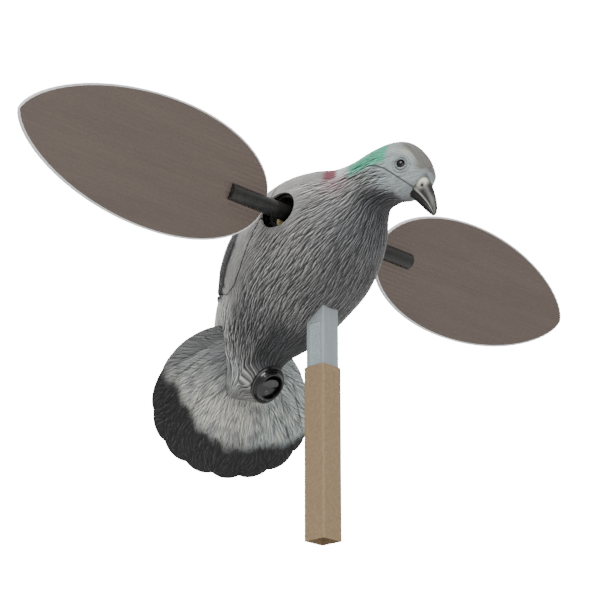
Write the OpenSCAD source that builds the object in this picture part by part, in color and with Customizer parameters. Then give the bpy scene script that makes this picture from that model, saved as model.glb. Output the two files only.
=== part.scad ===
// Motion wing decoy: a hollow bird on a square post that slides into a stake sleeve.
// A motor inside the body spins two flat wings about one axis that runs along X.
// Origin: centre of the sleeve's lower end. +Z runs up the stake and the bird faces -Y.

/* [Stake] */
// Outside width of the square stake sleeve
sleeve_w = 20; // [19.6:0.1:21]
// Length of the stake sleeve
sleeve_l = 132; // [100:1:200]
// Outside width of the square post that slides in the sleeve
post_w = 17.4; // [17:0.1:17.4]
// Wall of the post
post_wall = 1.5; // [1.2:0.1:2]
// Length of post held inside the sleeve
post_grip = 60; // [40:1:90]
// Height of the ribbed strip's top end above the sleeve
strip_rise = 34; // [20:1:40]

/* [Wings] */
// Distance from wing tip to wing tip
wing_span = 600; // [520:1:620]
// Greatest width of a wing blade
blade_chord = 95; // [70:1:96]
// Thickness of the fluted sheet
blade_t = 3.2; // [2.8:0.1:3.4]
// Lean of the resting blades from upright, top towards the front
blade_lean = 27; // [0:1:60]
// Outside diameter of a wing hub
hub_d = 13; // [11:0.5:14]
// Distance from the middle of the bird to the outer end of a hub
hub_reach = 101; // [90:1:104]
// Diameter of the wire in each wing
rod_d = 2.4; // [2:0.1:2.4]

/* [Body] */
// Wall of the moulded shell and saddle
shell_wall = 2.6; // [2:0.1:3]
// Diameter of the round openings in the flanks
flank_hole_d = 29.6; // [29.4:0.1:31]
// Thickness of the tail fan
tail_t = 2.6; // [2:0.1:3]
// Greatest width of the tail fan
tail_w = 165; // [140:1:170]
// Diameter of each eye
eye_d = 6.4; // [5:0.1:7]

/* [Motor and battery] */
// Diameter of the motor can
motor_d = 24; // [22:0.1:24]
// Outside diameter of the tube that carries the motor
tube_d = 29; // [28:0.1:29.2]
// Diameter of one battery cell
cell_d = 14.2; // [13.8:0.1:14.2]
// Travel of the rocker button, in degrees
rocker_throw = 24; // [16:1:24]

/* [Hidden] */
$fn = 48;

// Fits and small clearances
slide_gap = 0.2;
press_gap = 0.1;
run_gap = 0.05;
post_gap = 0.4;
glue_gap = 0.05;

// Stake and post
sleeve_in = post_w + 2 * slide_gap;
post_low = sleeve_l - post_grip;
post_top = 226;
strip_w = 11.6;
strip_pitch = 1.5;

// Wing axis, parallel to X at y = 0
axis_z = 245;
tube_half = 42;
tube_in = motor_d + 2 * press_gap;
motor_half = 19;
cap_l = 3;
shaft_d = 2.3;
shaft_reach = 54;
hub_start = 40;
slot_start = 62;
rod_start = 56;
rod_end = 200;
blade_root = 64;
blade_tip = wing_span / 2;
screw_x = 47;

// Cradle that joins the motor tube to the post
cradle_half = 15;
cradle_low = 214;
cradle_y = 12;
strap_half = 7;
strap_t = 2.5;
ear_y = 24;
ear_z = 237;
screw_y = 20.5;

// Battery box, tilted to face the saddle
box_at = [0, 35, 212];
box_tilt = 26.2;
box_x = 30;
box_y = [-14.5, 15];
box_z = 15.7;
box_wall = 1.2;
cell_l = 49;
cell_y = [-6.1, 8.2];
cell_z = 7.2;

// Round rocker switch at the vent, facing forward and down
switch_at = [0, 58, 132];
switch_tilt = 126.87;
switch_hole_r = 10.3;
switch_in_r = 9.3;
switch_depth = 13;
boot_r = 15.4;
boot_h = 6.5;
pad_r = 15.1;
hinge_drop = -1;
rocker_r = 7.9;

// Tail plane: it leaves the rump and hangs at this angle below level
tail_at = [0, 95.2, 126.8];
tail_angle = 68;
tail_root = -57.6;
tail_mid = 8;
tail_up = 66;
tail_down = 52;
tail_camber = 3.5;
feathers = 12;

// Eye place on the right side, and the way it looks
eye_at = [18.1, -95.2, 264.3];
eye_turn = 27;

// Body sections from the vent to the forehead: back point (y, z), belly point (y, z), half width
sections = [
  [97, 131, 91, 127, 5],
  [97, 136.5, 80, 123.5, 10.5],
  [97.5, 145.5, 69.5, 121.5, 14.5],
  [100, 157, 58, 132.5, 17],
  [106.5, 176.5, 46, 148, 25],
  [98.5, 196, 31, 155, 36],
  [88.5, 212, 21, 159, 43],
  [82, 231, 10, 165, 49],
  [71, 249, -2, 173, 53],
  [54, 266, -20, 185, 54.5],
  [37, 278, -31, 197, 53],
  [14, 286, -39, 208, 47.5],
  [-8, 286.5, -46, 219, 39],
  [-24, 284, -53, 233, 28.5],
  [-41, 285, -58, 243, 23],
  [-60, 289.5, -72, 246, 21.5],
  [-77, 291, -83.5, 244, 21.5],
  [-90.5, 288, -93, 245, 20],
  [-99, 280, -99.5, 249, 16.5],
  [-103.7, 270, -103, 254.5, 10],
  [-105, 265, -104.5, 259.5, 4]
];

// Beak sections: ridge point (y, z), chin point (y, z), half width
beak = [
  [-97, 265, -84, 251, 6],
  [-105, 257.5, -90.5, 244, 7],
  [-109.3, 248, -97.5, 237, 5.4],
  [-112.3, 238.5, -103.5, 230.5, 4],
  [-113.2, 231, -107.8, 226.2, 3],
  [-112.4, 226.6, -109.8, 224.6, 1.5]
];

// Outline of the saddle's cut, seen from the side
saddle_cut = [[13, 300], [8, 250], [13.5, 241.8], [37, 205], [45, 196.5], [57, 193], [120, 215], [120, 300]];
saddle_shift = [0.35, 0.5];

// Cubic curve through a list of equal-length vectors, at position u from 0 to its last index
function clamp(i, n) = max(0, min(n, i));
function blend4(a, b, c, d, t) =
  0.5 * (2 * b + (c - a) * t + (2 * a - 5 * b + 4 * c - d) * t * t + (3 * b - a - 3 * c + d) * t * t * t);
function along(list, u) =
  let (n = len(list) - 1, i = clamp(floor(u), n - 1), t = u - i)
  blend4(list[clamp(i - 1, n)], list[i], list[i + 1], list[clamp(i + 2, n)], t);

// One closed ring of a section, moved inward by off
function ring(s, sides, off) =
  let (
    mid = [(s[0] + s[2]) / 2, (s[1] + s[3]) / 2],
    arm = [(s[0] - s[2]) / 2, (s[1] - s[3]) / 2],
    keep = (norm(arm) - off) / norm(arm),
    w = s[4] - off
  )
  [for (k = [0:sides - 1])
    let (a = 360 * k / sides)
    [-w * sin(a), mid[0] + keep * arm[0] * cos(a), mid[1] + keep * arm[1] * cos(a)]];

// Closed skin over a list of rings with the same number of points
module skin(rings) {
  m = len(rings[0]);
  n = len(rings);
  walls = [for (i = [0:n - 2]) for (k = [0:m - 1])
    let (a = i * m + k, b = i * m + (k + 1) % m)
    each [[a, a + m, b], [b, a + m, b + m]]];
  polyhedron(
    points = [for (r = rings) each r],
    faces = concat(walls, [[for (k = [0:m - 1]) k]], [[for (k = [0:m - 1]) n * m - 1 - k]]),
    convexity = 6
  );
}

module loft(list, first, last, step, sides, off) {
  skin([for (u = [first:step:last]) ring(along(list, u), sides, off)]);
}

// Round wire through hand-placed points
function unit(v) = v / norm(v);
function wire_ring(p, way, r, sides) =
  let (side = unit(cross(way, [0.3, 0.2, 0.93])), up = cross(way, side))
  [for (k = [0:sides - 1]) p + r * (cos(360 * k / sides) * side + sin(360 * k / sides) * up)];
module wire(points, r) {
  n = len(points) - 1;
  skin([for (u = [0:0.5:n])
    let (a = along(points, max(0, u - 0.05)), b = along(points, min(n, u + 0.05)))
    wire_ring(along(points, u), unit(b - a), r, 6)]);
}

module at_axis() {
  translate([0, 0, axis_z]) children();
}
module x_cyl(x0, x1, r) {
  translate([x0, 0, 0]) rotate([0, 90, 0]) cylinder(r = r, h = x1 - x0);
}
module at_box() {
  translate(box_at) rotate([box_tilt, 0, 0]) children();
}
module at_switch() {
  translate(switch_at) rotate([switch_tilt, 0, 0]) children();
}
module at_blade() {
  at_axis() rotate([blade_lean, 0, 0]) children();
}
module square_tube(w, in, z0, z1, r) {
  translate([0, 0, z0]) linear_extrude(z1 - z0) difference() {
    rounded_square(w, r);
    rounded_square(in, max(0.6, r - (w - in) / 2));
  }
}
module rounded_square(w, r) {
  square([w - 2 * r, w], center = true);
  square([w, w - 2 * r], center = true);
  for (x = [-1, 1]) for (y = [-1, 1])
    translate([x * (w / 2 - r), y * (w / 2 - r)]) circle(r = r, $fn = 24);
}

// Stake and post
module stake_sleeve() {
  color("#97805f") square_tube(sleeve_w, sleeve_in, 0, sleeve_l, 1.6);
}
module post_tube() {
  color("#9aa3a6") difference() {
    square_tube(post_w, post_w - 2 * post_wall, post_low, post_top, 1.2);
    translate([-post_w, -strip_w / 2, post_low - 1])
      cube([post_w, strip_w, sleeve_l + strip_rise - post_low + 1]);
    at_pin() x_cyl(-post_w, post_w, 1.5 + press_gap);
  }
}
module friction_strip() {
  low = post_low + 2;
  high = sleeve_l + strip_rise - 0.3;
  face = -post_w / 2;
  ribs = floor((high - low - 2) / strip_pitch);
  edge = [for (i = [0:ribs - 1]) let (z = low + 1 + i * strip_pitch)
    each [[face, z], [face + 0.35, z + 0.45], [face + 0.35, z + 0.9], [face, z + strip_pitch - 0.15]]];
  outline = concat([[face, low]], edge, [[face, high], [face + 1.4, high], [face + 1.4, low]]);
  color("#b9c3c6") translate([0, strip_w / 2 - 0.25, 0]) rotate([90, 0, 0])
    linear_extrude(strip_w - 0.5) polygon(outline);
}
module at_pin() {
  translate([0, 0, 220]) children();
}
module post_pin() {
  color("silver") at_pin() x_cyl(-cradle_half - 1, cradle_half + 1, 1.5);
}

// Chassis around the motor
module motor_cradle() {
  color("#2b2b2c") difference() {
    union() {
      translate([-cradle_half, -cradle_y, cradle_low])
        cube([2 * cradle_half, 2 * cradle_y, ear_z - cradle_low]);
      translate([-strap_half, -ear_y, ear_z - 5]) cube([2 * strap_half, 2 * ear_y, 5]);
      translate([-13, 11, 215]) cube([26, 4, 3.5]);
      at_box() translate([-14, box_y[0] - 2.6, -box_z - 2.4]) cube([28, 2.4, 31.5]);
      at_box() translate([-14, box_y[0] - 2.6, -box_z - 2.4]) cube([28, 20, 2.2]);
    }
    at_axis() x_cyl(-30, 30, tube_d / 2 + press_gap);
    translate([-post_w / 2 - 0.15, -post_w / 2 - 0.15, 200]) cube([post_w + 0.3, post_w + 0.3, 26.2]);
    at_pin() x_cyl(-30, 30, 1.5 + press_gap);
    for (y = [-screw_y, screw_y]) translate([0, y, 225]) cylinder(r = 1.5 + press_gap, h = 20);
  }
}
module motor_strap() {
  color("#2b2b2c") difference() {
    union() {
      at_axis() x_cyl(-strap_half, strap_half, tube_d / 2 + strap_t);
      translate([-strap_half, -ear_y, ear_z]) cube([2 * strap_half, 2 * ear_y, 3]);
    }
    at_axis() x_cyl(-30, 30, tube_d / 2 + press_gap);
    translate([-20, -40, ear_z - 40]) cube([40, 80, 40]);
    for (y = [-screw_y, screw_y]) translate([0, y, 225]) cylinder(r = 1.5 + press_gap, h = 20);
  }
}
module strap_screws() {
  color("silver") for (y = [-screw_y, screw_y]) translate([0, y, 0]) {
    translate([0, 0, ear_z - 6]) cylinder(r = 1.5, h = 10);
    translate([0, 0, ear_z + 3]) cylinder(r = 2.8, h = 2);
  }
}
module motor_tube() {
  color("#1f1f20") at_axis() difference() {
    x_cyl(-tube_half, tube_half, tube_d / 2);
    x_cyl(-tube_half - 1, tube_half + 1, tube_in / 2);
  }
}
module motor_can() {
  color("silver") at_axis() difference() {
    x_cyl(-motor_half, motor_half, motor_d / 2);
    x_cyl(-motor_half - 1, motor_half + 1, 5);
  }
}
module motor_end_caps() {
  color("ivory") at_axis() difference() {
    union() {
      x_cyl(-motor_half - cap_l, -motor_half, motor_d / 2 - 0.4);
      x_cyl(-motor_half - cap_l - 2, -motor_half - cap_l, 3.5);
      x_cyl(motor_half, motor_half + 1.5, motor_d / 2 - 0.4);
      x_cyl(motor_half + 1.5, motor_half + 3.5, 3.5);
    }
    x_cyl(-30, 30, shaft_d / 2 + run_gap);
  }
}
module motor_terminals() {
  color("goldenrod") at_axis() for (s = [-1, 1])
    translate([-motor_half - cap_l - 5, s * 8.2 - 1.3, -s * 1.5 - 0.25]) cube([5, 2.6, 0.5]);
}
module noise_capacitor() {
  color("tan") at_axis() translate([0, 6.5, -4.3]) {
    x_cyl(-39.2, -36.2, 3.8);
    translate([0, 1.3, 1]) x_cyl(-36.3, -27.2, 0.35);
    translate([0, -1.3, -1]) x_cyl(-36.3, -27.2, 0.35);
  }
}

// Bird body
module body_solid() {
  loft(sections, 0, len(sections) - 1, 0.5, 44, 0);
  loft(beak, 0, len(beak) - 1, 0.5, 20, 0);
}
module body_hollow() {
  loft(sections, 2.5, len(sections) - 4, 0.75, 32, shell_wall);
}
module saddle_prism(shift) {
  translate([0, shift[0], shift[1]]) rotate([90, 0, 90]) translate([0, 0, -90])
    linear_extrude(180) polygon(saddle_cut);
}
module body_shell() {
  color("#8c9093") difference() {
    union() {
      body_solid();
      at_switch() translate([0, 0, -6]) cylinder(r = pad_r, h = 6.6);
    }
    body_hollow();
    saddle_prism([0, 0]);
    at_axis() x_cyl(-80, 80, flank_hole_d / 2);
    translate([-post_w / 2 - post_gap, -post_w / 2 - post_gap, 120])
      cube([post_w + 2 * post_gap, post_w + 2 * post_gap, 80]);
    at_switch() translate([0, 0, -switch_depth - 4]) cylinder(r = switch_hole_r, h = 30);
    for (s = [-1, 1]) at_eye(s) translate([0, 0, -3]) cylinder(r = eye_d / 2 + press_gap, h = 12);
  }
}
module back_saddle() {
  color("#74787b") {
    difference() {
      intersection() {
        loft(sections, 0, len(sections) - 1, 0.5, 44, 0);
        saddle_prism(saddle_shift);
      }
      body_hollow();
      at_axis() x_cyl(-80, 80, flank_hole_d / 2 + 0.4);
    }
  }
}

// Tail fan as a grid over its outline; edge 1 at the rim, 0 on the middle line
function tail_half(s) =
  let (q = s < tail_mid ? (tail_mid - s) / tail_up : (s - tail_mid) / tail_down)
  tail_w / 2 * sqrt(max(0, 1 - q * q));
function scallop(x, s) = s < tail_mid ? 1 : 1 - 0.014 * abs(cos(180 * feathers / 2 * x / tail_w * 2));
function tail_point(u, v, off) =
  let (
    low = tail_root,
    high = tail_mid + tail_down - 0.6,
    s = low + (high - low) * (1 - cos(180 * u)) / 2,
    x = v * tail_half(s),
    k = scallop(x, s),
    bend = tail_camber * pow(abs(x) / (tail_w / 2), 2)
  )
  [x * k, off + bend, s * k];
module tail_plate() {
  rows = 18;
  cols = 24;
  translate(tail_at) rotate([90 - tail_angle, 0, 0]) rotate([180, 0, 0])
    skin([for (i = [0:rows])
      let (u = i / rows)
      concat(
        [for (j = [0:cols]) tail_point(u, 2 * j / cols - 1, tail_t / 2)],
        [for (j = [0:cols]) tail_point(u, 1 - 2 * j / cols, -tail_t / 2)]
      )]);
}
module tail_fan() {
  color("#b7bbbd") difference() {
    tail_plate();
    loft(sections, 0, 8, 0.5, 44, -glue_gap);
  }
}
module at_eye(s) {
  translate([s * eye_at[0], eye_at[1], eye_at[2]]) rotate([0, 0, -s * eye_turn]) rotate([0, s * 90, 0])
    children();
}
module eyes() {
  color("#101010") for (s = [-1, 1]) at_eye(s) {
    translate([0, 0, -2.8]) cylinder(r = eye_d / 2, h = 2.8);
    intersection() {
      cylinder(r = eye_d / 2, h = 4);
      translate([0, 0, -2.2]) sphere(r = eye_d / 2 + 0.6);
    }
  }
}

// Battery box
module battery_box() {
  color("#2f3032") at_box() difference() {
    translate([-box_x, box_y[0], -box_z]) cube([2 * box_x, box_y[1] - box_y[0], 2 * box_z]);
    translate([-box_x + box_wall, box_y[0] + box_wall, -box_z + box_wall])
      cube([2 * (box_x - box_wall), 40, 2 * (box_z - box_wall)]);
  }
}
module battery_cells() {
  color("#b87333") at_box() for (y = cell_y) for (z = [-cell_z, cell_z]) translate([0, y, z]) {
    turn = (y > 0) == (z > 0) ? 1 : -1;
    x_cyl(-cell_l / 2, cell_l / 2, cell_d / 2);
    scale([turn, 1, 1]) x_cyl(cell_l / 2, cell_l / 2 + 1, 2.7);
  }
}
module battery_contacts() {
  color("silver") at_box() for (s = [-1, 1]) {
    translate([s * (box_x - box_wall - 0.4) - 0.3, box_y[0] + box_wall + 1, -12]) cube([0.6, 25, 24]);
    for (y = cell_y) for (z = [-cell_z, cell_z]) translate([s * 27.1, y, z]) x_cyl(-1.2, 1.2, 3);
  }
}

// Switch
module switch_body() {
  color("#1b1b1c") at_switch() difference() {
    union() {
      translate([0, 0, -switch_depth]) cylinder(r = switch_hole_r - press_gap, h = switch_depth + 0.7);
      translate([0, 0, 0.7]) cylinder(r = 12, h = 1.2);
    }
    translate([0, 0, -switch_depth + 2]) cylinder(r = switch_in_r, h = 30);
    translate([0, 0, hinge_drop]) x_cyl(-10.4, 10.4, 1 + run_gap);
  }
}
module switch_boot() {
  steps = [[12.1, 0.65], [boot_r, 0.65], [boot_r, 2], [14.4, 2.9], [13.9, 2.6], [13.2, 4.2], [12.6, 3.9],
    [11.6, 5.6], [10.9, boot_h], [9.8, boot_h], [switch_in_r + 0.2, 5.4], [switch_in_r + 0.2, 2.05], [12.1, 2.05]];
  color("#141414") at_switch() rotate_extrude($fn = 64) polygon(steps);
}
module switch_terminals() {
  color("goldenrod") at_switch() for (s = [-1, 1])
    translate([-2.4, s * 4 - 0.4, -switch_depth - 6]) cube([4.8, 0.8, 6]);
}
module switch_rocker() {
  top = 4.6;
  rise = rocker_r * tan(rocker_throw / 2);
  side = [[-rocker_r - 1, -6], [rocker_r + 1, -6], [rocker_r + 1, top + rise], [0, top], [-rocker_r - 1, top + rise]];
  color("#0c0c0c") at_switch() translate([0, 0, hinge_drop]) rotate([rocker_throw / 2, 0, 0]) {
    intersection() {
      translate([0, 0, -5.5]) cylinder(r = rocker_r, h = 20);
      rotate([90, 0, 90]) translate([0, 0, -10]) linear_extrude(20) polygon(side);
    }
    x_cyl(-10, 10, 1);
  }
}

// Leads inside the body
lead_r = 0.8;
red_route = [[16, 51, 197], [12, 60, 188], [8, 66, 172], [4, 69, 160], [2, 68, 152]];
black_route = [[-31.5, 40, 212], [-36, 34, 224], [-37, 27, 236], [-34, 20, 246], [-28, 15.6, 256]];
switched_route = [[-3, 76, 150], [-14, 68, 168], [-26, 62, 186], [-38, 46, 206], [-40, 22, 226], [-34, 17.5, 238]];
module lead_red() { color("red") wire(red_route, lead_r); }
module lead_black() { color("#222222") wire(black_route, lead_r); }
module lead_switched() { color("orange") wire(switched_route, lead_r); }

// Rotor
module motor_shaft() {
  color("silver") at_axis() x_cyl(-shaft_reach, shaft_reach, shaft_d / 2);
}
module hub(s) {
  slot = blade_t + 2 * slide_gap;
  color("#262627") scale([s, 1, 1]) at_blade() difference() {
    x_cyl(hub_start, hub_reach, hub_d / 2);
    x_cyl(hub_start - 1, shaft_reach + 1, shaft_d / 2 + run_gap);
    x_cyl(shaft_reach, hub_reach + 1, rod_d / 2 + run_gap);
    translate([slot_start, -slot / 2, -hub_d]) cube([hub_reach, slot, 2 * hub_d]);
    translate([screw_x, 0, 0]) rotate([-90, 0, 0]) cylinder(r = 1.5 + run_gap, h = hub_d);
  }
}
module wing_hub_right() { hub(-1); }
module wing_hub_left() { hub(1); }
module hub_screws() {
  color("silver") for (s = [-1, 1]) scale([s, 1, 1]) at_blade() translate([screw_x, 0, 0])
    rotate([-90, 0, 0]) difference() {
      translate([0, 0, shaft_d / 2 + 0.1]) cylinder(r = 1.5, h = 4.2);
      translate([0, 0, 4]) cylinder(r = 0.75, h = 4, $fn = 6);
    }
}

// Wing blade: width follows t^a (1 - t)^b between root and tip
blade_a = 0.47;
blade_b = 0.62;
blade_steps = 44;
blade_peak = pow(blade_a / (blade_a + blade_b), blade_a) * pow(blade_b / (blade_a + blade_b), blade_b);
function half_chord(t) = blade_chord / 2 * pow(t, blade_a) * pow(1 - t, blade_b) / blade_peak;
function blade_edge(side) = [for (i = [0:blade_steps])
  let (t = (1 - cos(180 * i / blade_steps)) / 2)
  [blade_root + t * (blade_tip - blade_root), side * max(half_chord(t), 0)]];
module blade(s) {
  upper = blade_edge(1);
  lower = blade_edge(-1);
  outline = concat(upper, [for (i = [blade_steps - 1:-1:1]) lower[i]]);
  color("#6b5f58") scale([s, 1, 1]) at_blade() difference() {
    rotate([90, 0, 0]) translate([0, 0, -blade_t / 2]) linear_extrude(blade_t) polygon(outline);
    x_cyl(blade_root - 2, rod_end + 0.3, rod_d / 2 + run_gap);
  }
}
module wing_blade_right() { blade(-1); }
module wing_blade_left() { blade(1); }
module rod(s) {
  color("silver") scale([s, 1, 1]) at_blade() x_cyl(rod_start, rod_end, rod_d / 2);
}
module wing_rod_right() { rod(-1); }
module wing_rod_left() { rod(1); }

stake_sleeve();
post_tube();
friction_strip();
post_pin();
motor_cradle();
motor_strap();
strap_screws();
motor_tube();
motor_can();
motor_end_caps();
motor_terminals();
noise_capacitor();
body_shell();
back_saddle();
tail_fan();
eyes();
battery_box();
battery_cells();
battery_contacts();
switch_body();
switch_boot();
switch_terminals();
switch_rocker();
lead_red();
lead_black();
lead_switched();
motor_shaft();
wing_hub_right();
wing_hub_left();
hub_screws();
wing_blade_right();
wing_blade_left();
wing_rod_right();
wing_rod_left();
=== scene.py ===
"""Looks of the motion wing decoy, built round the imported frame.

Lengths of the bird's surface are in millimetres and become metres when a mesh is made.
The bird faces -Y, its right wing is at -X, and +Z is up.
"""
import math

import bmesh
import bpy
import numpy as np
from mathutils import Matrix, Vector


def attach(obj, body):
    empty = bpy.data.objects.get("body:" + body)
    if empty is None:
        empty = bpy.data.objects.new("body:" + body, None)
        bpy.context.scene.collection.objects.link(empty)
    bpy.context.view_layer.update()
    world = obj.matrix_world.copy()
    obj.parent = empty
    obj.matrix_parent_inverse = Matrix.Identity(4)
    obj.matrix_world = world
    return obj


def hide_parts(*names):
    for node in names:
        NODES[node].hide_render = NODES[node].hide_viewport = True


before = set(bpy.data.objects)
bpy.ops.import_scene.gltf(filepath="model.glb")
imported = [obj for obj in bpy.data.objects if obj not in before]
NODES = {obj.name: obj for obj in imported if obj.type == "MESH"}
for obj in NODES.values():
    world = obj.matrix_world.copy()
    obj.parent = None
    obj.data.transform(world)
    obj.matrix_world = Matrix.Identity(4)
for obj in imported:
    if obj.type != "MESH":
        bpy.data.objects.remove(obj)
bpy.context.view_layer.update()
MM = 0.001

# Body sections from the vent to the forehead: back point (y, z), belly point (y, z), half width
SECTIONS = np.array([
    [97, 131, 91, 127, 5], [97, 136.5, 80, 123.5, 10.5], [97.5, 145.5, 69.5, 121.5, 14.5],
    [100, 157, 58, 132.5, 17], [106.5, 176.5, 46, 148, 25], [98.5, 196, 31, 155, 36],
    [88.5, 212, 21, 159, 43], [82, 231, 10, 165, 49], [71, 249, -2, 173, 53],
    [54, 266, -20, 185, 54.5], [37, 278, -31, 197, 53], [14, 286, -39, 208, 47.5],
    [-8, 286.5, -46, 219, 39], [-24, 284, -53, 233, 28.5], [-41, 285, -58, 243, 23],
    [-60, 289.5, -72, 246, 21.5], [-77, 291, -83.5, 244, 21.5], [-90.5, 288, -93, 245, 20],
    [-99, 280, -99.5, 249, 16.5], [-103.7, 270, -103, 254.5, 10], [-105, 265, -104.5, 259.5, 4],
])
# Beak sections: ridge point (y, z), chin point (y, z), half width
BEAK = np.array([
    [-97, 265, -84, 251, 6], [-105, 257.5, -90.5, 244, 7], [-109.3, 248, -97.5, 237, 5.4],
    [-112.3, 238.5, -103.5, 230.5, 4], [-113.2, 231, -107.8, 226.2, 3], [-112.4, 226.6, -109.8, 224.6, 1.5],
])
AXIS_Z = 245.0
FLANK_R = 14.8
POST_HALF = 9.1
SHELL_WALL = 2.6
# Parting line of the lift-off saddle, in the YZ plane
PARTING = np.array([[13, 300], [8, 250], [13.5, 241.8], [37, 205], [45, 196.5], [57, 193], [120, 215]])
PARTING_GAP = 0.35
SWITCH_AT = np.array([0, 58, 132.0])
SWITCH_OUT = np.array([0, -0.8, -0.6])
EYE_AT = np.array([18.1, -95.2, 264.3])
EYE_OUT = np.array([0.891, -0.454, 0])
EYE_FLOOR = -1.6
# Rings round an eye: height, radius, width
LIDS = [(1.0, 3.5, 0.5), (-0.5, 4.7, 0.45), (0.35, 5.9, 0.5), (-0.25, 6.8, 0.45)]
# Tail plane: root point, direction down the tail, forward normal
TAIL_AT = np.array([0, 95.2, 126.8])
TAIL_DOWN = np.array([0, 0.3746, -0.9272])
TAIL_FRONT = np.array([0, -0.9272, -0.3746])


# ---------------------------------------------------------------- colour and small helpers
def srgb(r, g, b):
    """Linear colour of an 8-bit display colour."""
    c = np.array([r, g, b]) / 255
    return np.where(c <= 0.04045, c / 12.92, ((c + 0.055) / 1.055) ** 2.4)


def ramp(x, a, b):
    """Smooth step from 0 at a to 1 at b."""
    t = np.clip((x - a) / (b - a), 0, 1)
    return t * t * (3 - 2 * t)


def spot(u, a, u0, a0, ur, ar):
    """Soft round patch, 1 in the middle, on coordinates u and a."""
    return np.exp(-(((u - u0) / ur) ** 2 + ((a - a0) / ar) ** 2))


def mix(base, colour, weight):
    return base + (colour - base) * weight[..., None]


def along(rows, u):
    """Cubic curve through the rows of a table at position u."""
    last = len(rows) - 1
    i = np.clip(np.floor(u).astype(int), 0, last - 1)
    t = (u - i)[..., None]
    a, b = rows[np.clip(i - 1, 0, last)], rows[i]
    c, d = rows[i + 1], rows[np.clip(i + 2, 0, last)]
    return 0.5 * (2 * b + (c - a) * t + (2 * a - 5 * b + 4 * c - d) * t**2
                  + (3 * b - a - 3 * c + d) * t**3)


def loft_points(table, u, a):
    """Point at section u and angle a: 0 on the back, 180 under the belly, 90 on the right side."""
    s = along(table, u)
    mid, arm = (s[..., 0:2] + s[..., 2:4]) / 2, (s[..., 0:2] - s[..., 2:4]) / 2
    r = np.radians(a)
    yz = mid + arm * np.cos(r)[..., None]
    return np.stack([-s[..., 4] * np.sin(r), yz[..., 0], yz[..., 1]], -1)


def even_rows(table, count):
    """Section positions that lie about evenly along the middle of a loft."""
    u = np.linspace(0, len(table) - 1, 2000)
    s = along(table, u)
    mid = (s[:, 0:2] + s[:, 2:4]) / 2
    run = np.concatenate([[0], np.cumsum(np.linalg.norm(np.diff(mid, axis=0), axis=1))])
    return np.interp(np.linspace(0, run[-1], count), run, u)


def grid_normals(p, wrap):
    """Unit normals of a grid of points; the columns close on themselves if wrap."""
    du = np.gradient(p, axis=0)
    if wrap:
        da = (np.roll(p, -1, 1) - np.roll(p, 1, 1)) / 2
    else:
        da = np.gradient(p, axis=1)
    n = np.cross(da, du)
    return n / np.maximum(np.linalg.norm(n, axis=-1, keepdims=True), 1e-9), du, da


def engrave(relief, step_u, step_a, strokes, wrap=True):
    """Cuts fine strokes into a relief grid.

    Each stroke is (row, column, length, width, tilt in radians, bend, depth), sizes in mm.
    """
    rows, cols = relief.shape
    for i0, j0, length, width, tilt, bend, depth in strokes:
        su, sa = step_u[i0, j0], step_a[i0, j0]
        ni = int(length / 2 / su) + 2
        nj = int((abs(math.sin(tilt)) * length / 2 + 3.2 * width) / sa) + 2
        nj = min(nj, cols // 2 - 1)
        i = np.arange(max(0, i0 - ni), min(rows, i0 + ni + 1))
        j = np.arange(j0 - nj, j0 + nj + 1)
        if wrap:
            jj = j % cols
        else:
            j = j[(j >= 0) & (j < cols)]
            jj = j
        y = (i - i0)[:, None] * su
        x = (j - j0)[None] * sa
        run = y * math.cos(tilt) + x * math.sin(tilt)
        off = x * math.cos(tilt) - y * math.sin(tilt) + bend * run**2
        taper = np.sqrt(np.clip(1 - (2 * run / length) ** 2, 0, 1))
        cut = -np.exp(-((off / width) ** 2))
        lip = 0.75 * np.exp(-(((off - 1.7 * width) / width) ** 2))
        relief[np.ix_(i, jj)] += depth * taper * (cut + lip)


def soft_noise(rng, shape, rounds):
    """Random field smoothed over a few cells, about 1 in strength."""
    field = rng.normal(0, 1, shape)
    for k in range(rounds):
        step = 1 + k // 2
        field = sum(np.roll(field, turn, side) for side in (0, 1) for turn in (-step, 0, step))
    return field / field.std()


def scatter(rng, weight, count):
    """Rows and columns of count random grid places, more where weight is high."""
    flat = weight.ravel() / weight.sum()
    pick = rng.choice(flat.size, count, p=flat)
    return np.unravel_index(pick, weight.shape)


def grid_faces(rows, cols, wrap):
    last = cols if wrap else cols - 1
    i, j = np.meshgrid(np.arange(rows - 1), np.arange(last), indexing="ij")
    k = (j + 1) % cols
    return np.stack([i * cols + j, i * cols + k, (i + 1) * cols + k, (i + 1) * cols + j], -1).reshape(-1, 4)


def make_object(name, points, faces, material, paint=None, smooth=True):
    """Mesh object from points in mm, with its colour stored on the points."""
    used = np.unique(np.concatenate([np.asarray(f).ravel() for f in faces]))
    slot = np.full(len(points), -1)
    slot[used] = np.arange(len(used))
    mesh = bpy.data.meshes.new(name)
    polys = [tuple(slot[list(f)].tolist()) for group in faces for f in group]
    mesh.from_pydata((points[used] * MM).tolist(), [], polys)
    if paint is not None:
        layer = mesh.attributes.new("paint", "FLOAT_COLOR", "POINT")
        rgba = np.concatenate([paint[used], np.ones((len(used), 1))], 1)
        layer.data.foreach_set("color", rgba.astype(np.float32).ravel())
    mesh.polygons.foreach_set("use_smooth", [smooth] * len(mesh.polygons))
    mesh.materials.append(material)
    mesh.update()
    obj = bpy.data.objects.new(name, mesh)
    bpy.context.scene.collection.objects.link(obj)
    return obj


# ---------------------------------------------------------------- materials
def new_material(name):
    mat = bpy.data.materials.new(name)
    mat.use_nodes = True
    tree = mat.node_tree
    return mat, tree, tree.nodes["Principled BSDF"]


def add(tree, kind, **values):
    node = tree.nodes.new(kind)
    for key, value in values.items():
        if key in node.inputs.keys():
            node.inputs[key].default_value = value
        else:
            setattr(node, key, value)
    return node


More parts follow.
